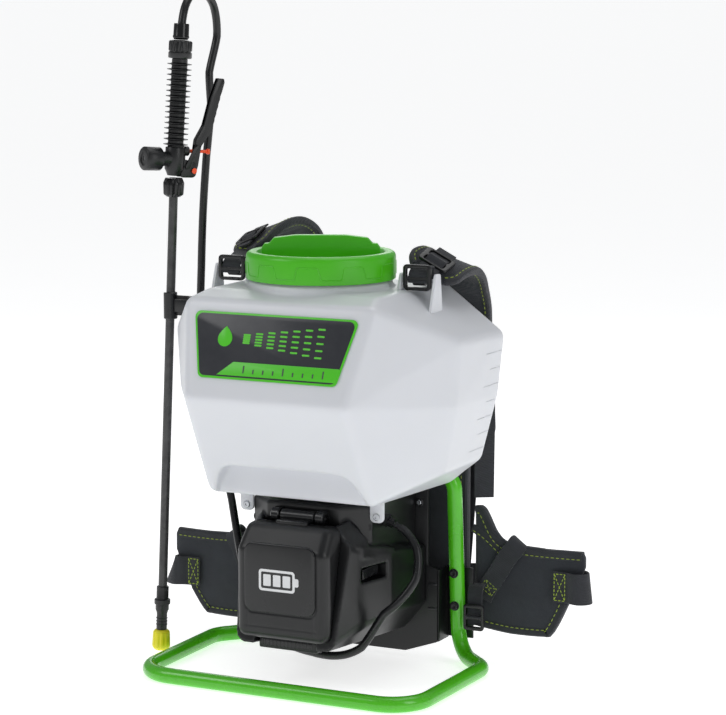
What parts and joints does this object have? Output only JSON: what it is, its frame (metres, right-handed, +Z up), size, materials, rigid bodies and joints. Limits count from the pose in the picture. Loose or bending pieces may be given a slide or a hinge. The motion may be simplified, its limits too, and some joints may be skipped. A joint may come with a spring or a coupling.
{
  "type": "backpack sprayer",
  "caption": "Battery backpack sprayer: faceted white tank on a bent green tube stand, pump housing, spray wand with trigger gun, hose, padded harness and belt.",
  "frame": {"origin": "centre of the footprint on the floor, without the hose", "axes": "+Z up, -Y towards the labelled front of the tank, +X towards the side with the power switch"},
  "size_m": [0.5842, 0.3422, 0.8288],
  "materials": {
    "green_powder_coat": "gloss",
    "black_rubber": "matte",
    "natural_white_plastic": "satin, slightly translucent",
    "black_plastic": "fine grain",
    "label_sheet": "satin",
    "green_plastic": "satin",
    "bright_steel": "satin",
    "circuit_board": "satin",
    "gloss_black_plastic": "gloss",
    "yellow_plastic": "satin",
    "orange_plastic": "satin",
    "pad_fabric": "woven",
    "webbing": "woven"
  },
  "bodies": {
    "sprayer": {"frame_tube": "green_powder_coat", "frame_screw_left_1": "black_rubber", "frame_screw_left_2": "black_rubber", "frame_screw_right_1": "black_rubber", "frame_screw_right_2": "black_rubber", "tank_shell": "natural_white_plastic", "tank_outlet_fitting": "black_plastic", "tank_label": "label_sheet", "filler_strainer": "black_plastic", "pump_housing": "black_plastic", "door_hinge_pin": "bright_steel", "rear_panel": "black_plastic", "battery_pack": "black_plastic", "battery_terminals": "black_plastic", "battery_bay": "black_plastic", "control_board": "circuit_board", "pump_motor": "bright_steel", "pump_head": "black_plastic", "suction_tube": "black_rubber", "delivery_tube": "black_rubber", "hose_outlet_fitting": "black_plastic", "lance_tube": "gloss_black_plastic", "nozzle_body": "black_plastic", "wand_clip": "black_plastic", "handle_body": "black_plastic", "hose_sleeve": "gloss_black_plastic", "trigger_pin": "orange_plastic", "spray_hose": "gloss_black_plastic", "back_pad": "pad_fabric", "shoulder_strap_left": "pad_fabric", "ladder_lock_left": "black_plastic", "slide_buckle_left": "black_plastic", "shoulder_strap_right": "pad_fabric", "ladder_lock_right": "black_plastic", "slide_buckle_right": "black_plastic", "strap_tail_right": "webbing", "strap_tail_left": "webbing", "waist_pad_left": "pad_fabric", "belt_webbing_left": "webbing", "belt_brace_left": "webbing", "tri_glide_left": "black_plastic", "waist_pad_right": "pad_fabric", "belt_webbing_right": "webbing", "belt_brace_right": "webbing", "tri_glide_right": "black_plastic", "belt_buckle_socket": "black_plastic", "belt_buckle_plug": "black_plastic"},
    "lid_seal": {"lid_gasket": "black_rubber"},
    "lid": {"lid_cap": "green_plastic", "lid_vent_valve": "black_rubber"},
    "battery_door": {"battery_door": "black_plastic"},
    "door_latch": {"door_latch": "black_plastic"},
    "power_rocker": {"power_switch": "gloss_black_plastic"},
    "spray_tip": {"nozzle_tip": "yellow_plastic"},
    "lance_collar": {"lance_nut": "black_plastic"},
    "trigger": {"trigger_lever": "gloss_black_plastic"},
    "valve_stem": {"valve_stem": "orange_plastic"},
    "trigger_lock": {"trigger_lock": "black_rubber"},
    "gun_filter_cap": {"filter_cap": "black_plastic"},
    "hose_collar": {"hose_nut": "black_plastic"}
  },
  "joints": [
    {"name": "lid_lift", "type": "slide", "parent": "sprayer", "child": "lid_seal", "axis": [0, 0, 1], "range_m": [0, 0.12]},
    {"name": "lid_turn", "type": "hinge", "parent": "lid_seal", "child": "lid", "pos_m": [0, -0.026, 0.5], "axis": [0, 0, 1], "range_deg": [0, 450]},
    {"name": "battery_door_swing", "type": "hinge", "parent": "sprayer", "child": "battery_door", "pos_m": [0, -0.085, 0.204], "axis": [-1, 0, 0], "range_deg": [0, 70]},
    {"name": "latch_swing", "type": "hinge", "parent": "sprayer", "child": "door_latch", "pos_m": [0, -0.103, 0.049], "axis": [1, 0, 0], "range_deg": [0, 55]},
    {"name": "power_rock", "type": "hinge", "parent": "sprayer", "child": "power_rocker", "pos_m": [0.0765, -0.052, 0.137], "axis": [0, 0, 1], "range_deg": [0, 8]},
    {"name": "spray_tip_turn", "type": "hinge", "parent": "sprayer", "child": "spray_tip", "pos_m": [-0.218, -0.044, 0.006], "axis": [0.0386, 0.0084, 0.9992], "range_deg": [0, 540]},
    {"name": "lance_collar_turn", "type": "hinge", "parent": "sprayer", "child": "lance_collar", "pos_m": [-0.195, -0.039, 0.602], "axis": [0.0386, 0.0084, 0.9992], "continuous": true},
    {"name": "trigger_squeeze", "type": "hinge", "parent": "sprayer", "child": "trigger", "pos_m": [-0.1826, -0.01927, 0.6073], "axis": [0.8502, -0.5255, -0.0324], "range_deg": [0, 14], "stiffness_Nm_per_rad": 2, "springref_deg": -8.59},
    {"name": "valve_stem_slide", "type": "slide", "parent": "sprayer", "child": "valve_stem", "axis": [-0.5236, -0.8504, 0.0518], "range_m": [0, 0.006]},
    {"name": "trigger_lock_turn", "type": "hinge", "parent": "sprayer", "child": "trigger_lock", "pos_m": [-0.18733, -0.02722, 0.61228], "axis": [-0.8502, 0.5255, 0.0324], "range_deg": [0, 40]},
    {"name": "filter_cap_turn", "type": "hinge", "parent": "sprayer", "child": "gun_filter_cap", "pos_m": [-0.20961, -0.06397, 0.62352], "axis": [-0.5236, -0.8504, 0.0518], "continuous": true},
    {"name": "hose_collar_turn", "type": "hinge", "parent": "sprayer", "child": "hose_collar", "pos_m": [-0.18663, -0.03486, 0.75472], "axis": [0.0547, 0.0271, 0.9981], "continuous": true}
  ],
  "couplings": [
    {"joint": "valve_stem_slide", "follows": "trigger_squeeze", "m_per_rad": 0.0235}
  ]
}
